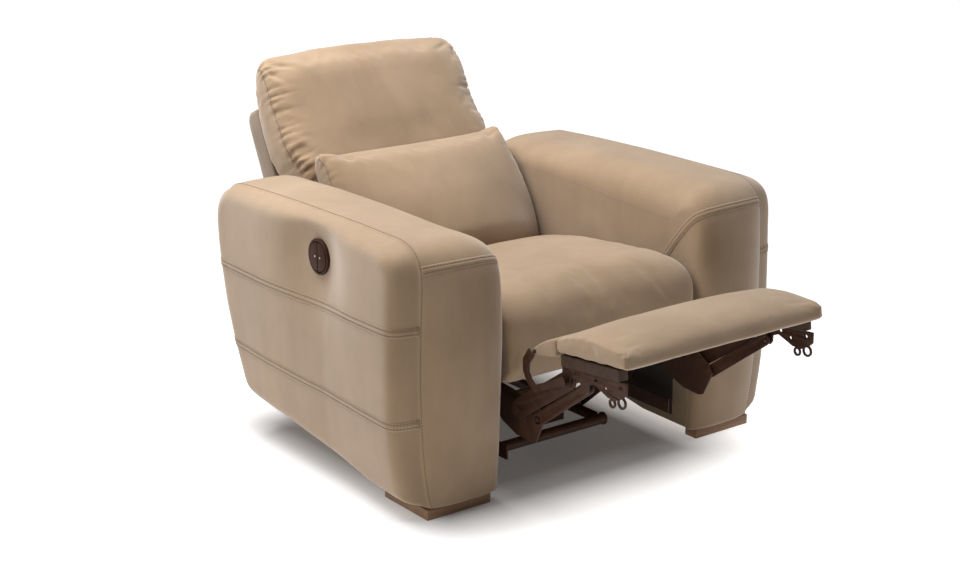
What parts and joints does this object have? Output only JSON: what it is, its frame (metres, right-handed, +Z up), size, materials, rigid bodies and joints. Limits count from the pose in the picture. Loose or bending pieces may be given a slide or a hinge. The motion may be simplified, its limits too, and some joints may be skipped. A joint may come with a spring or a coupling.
{
  "type": "recliner armchair",
  "caption": "Suede power recliner armchair with block arms, a hinged back with head and lumbar cushions, and a footrest on a folding steel linkage.",
  "frame": {"origin": "middle of the chair's footprint on the floor, halfway between the footrest's front edge and the back shell's rear edge, with the footrest out", "axes": "+Z up, the sitter faces -Y, and the control is on the -X arm, on the sitter's right-hand side"},
  "size_m": [1.092, 1.5222, 0.8968],
  "materials": {
    "upholstery": "suede-like microfibre with a soft nap",
    "lining": "dark woven lining",
    "webbing": "woven elastic webbing",
    "plywood": "raw birch plywood",
    "foot_wood": "satin stained beech",
    "dark_steel": "dark brown powder-coated steel",
    "black_plastic": "moulded dark plastic"
  },
  "bodies": {
    "base": {"arm_wrap_left": "upholstery", "arm_wrap_right": "upholstery", "arm_side_pad_left": "upholstery", "arm_side_pad_right": "upholstery", "arm_inner_pad_left": "upholstery", "arm_inner_pad_right": "upholstery", "arm_lining_left": "lining", "arm_lining_right": "lining", "arm_frame_left": "plywood", "arm_frame_right": "plywood", "front_foot_left": "foot_wood", "front_foot_right": "foot_wood", "rear_foot_left": "black_plastic", "rear_foot_right": "black_plastic", "base_plate_left": "dark_steel", "base_plate_right": "dark_steel", "arm_bracket_left": "dark_steel", "arm_bracket_right": "dark_steel", "control_bezel": "black_plastic", "front_tube": "dark_steel", "rear_tube": "dark_steel", "actuator_rail": "dark_steel", "motor_housing": "black_plastic", "seat_cushion": "upholstery", "seat_side_rail_left": "plywood", "seat_side_rail_right": "plywood", "seat_front_rail": "plywood", "seat_rear_rail": "plywood", "seat_strap_left": "webbing", "seat_strap_right": "webbing"},
    "back": {"back_shell": "upholstery", "back_stile_left": "plywood", "back_stile_right": "plywood", "back_top_rail": "plywood", "back_bottom_rail": "plywood", "back_strap": "webbing", "head_cushion": "upholstery", "lumbar_cushion": "upholstery", "back_hinge_left": "dark_steel", "back_hinge_right": "dark_steel"},
    "lower_linkage": {"lower_link_left": "dark_steel", "lower_link_right": "dark_steel", "torque_tube": "dark_steel"},
    "upper_linkage": {"upper_link_left": "dark_steel", "upper_link_right": "dark_steel"},
    "footrest": {"footrest_board": "plywood", "footrest_cushion": "upholstery", "flap_cushion": "upholstery", "footrest_batten_left": "foot_wood", "footrest_batten_right": "foot_wood", "footrest_bracket_left": "dark_steel", "footrest_bracket_right": "dark_steel", "flap_arm_left": "dark_steel", "flap_arm_right": "dark_steel"},
    "guide_linkage": {"guide_link_left": "dark_steel", "guide_link_right": "dark_steel"},
    "drive_link": {"drive_link": "dark_steel"},
    "carriage": {"rail_carriage": "dark_steel"},
    "button_front": {"control_button_front": "black_plastic"},
    "button_rear": {"control_button_rear": "black_plastic"}
  },
  "joints": [
    {"name": "footrest_fold", "type": "hinge", "parent": "base", "child": "lower_linkage", "pos_m": [0, -0.20645, 0.27], "axis": [1, 0, 0], "range_deg": [0, 82.23]},
    {"name": "upper_link_fold", "type": "hinge", "parent": "lower_linkage", "child": "upper_linkage", "pos_m": [0, -0.37345, 0.228], "axis": [1, 0, 0], "range_deg": [-92.36, 0]},
    {"name": "footrest_turn", "type": "hinge", "parent": "upper_linkage", "child": "footrest", "pos_m": [0, -0.55146, 0.35], "axis": [1, 0, 0], "range_deg": [0, 103.13]},
    {"name": "guide_link_fold", "type": "hinge", "parent": "footrest", "child": "guide_linkage", "pos_m": [0, -0.61145, 0.35], "axis": [1, 0, 0], "range_deg": [-102.32, 0]},
    {"name": "drive_link_fold", "type": "hinge", "parent": "lower_linkage", "child": "drive_link", "pos_m": [0, -0.34446, 0.25], "axis": [1, 0, 0], "range_deg": [-48.06, 0]},
    {"name": "carriage_slide", "type": "slide", "parent": "base", "child": "carriage", "axis": [0, 1, 0], "range_m": [0, 0.19102]},
    {"name": "back_recline", "type": "hinge", "parent": "base", "child": "back", "pos_m": [0, 0.25355, 0.307], "axis": [-1, 0, 0], "range_deg": [-8, 22]},
    {"name": "front_button_press", "type": "slide", "parent": "base", "child": "button_front", "axis": [1, 0, 0], "range_m": [0, 0.002], "stiffness_N_per_m": 600},
    {"name": "rear_button_press", "type": "slide", "parent": "base", "child": "button_rear", "axis": [1, 0, 0], "range_m": [0, 0.002], "stiffness_N_per_m": 600}
  ],
  "couplings": [
    {"joint": "upper_link_fold", "follows": "footrest_fold", "ratio": -1.122},
    {"joint": "footrest_turn", "follows": "footrest_fold", "ratio": 1.2529},
    {"joint": "guide_link_fold", "follows": "footrest_fold", "ratio": -1.2431},
    {"joint": "drive_link_fold", "follows": "footrest_fold", "ratio": -0.58321},
    {"joint": "carriage_slide", "follows": "footrest_fold", "m_per_rad": 0.13275}
  ]
}
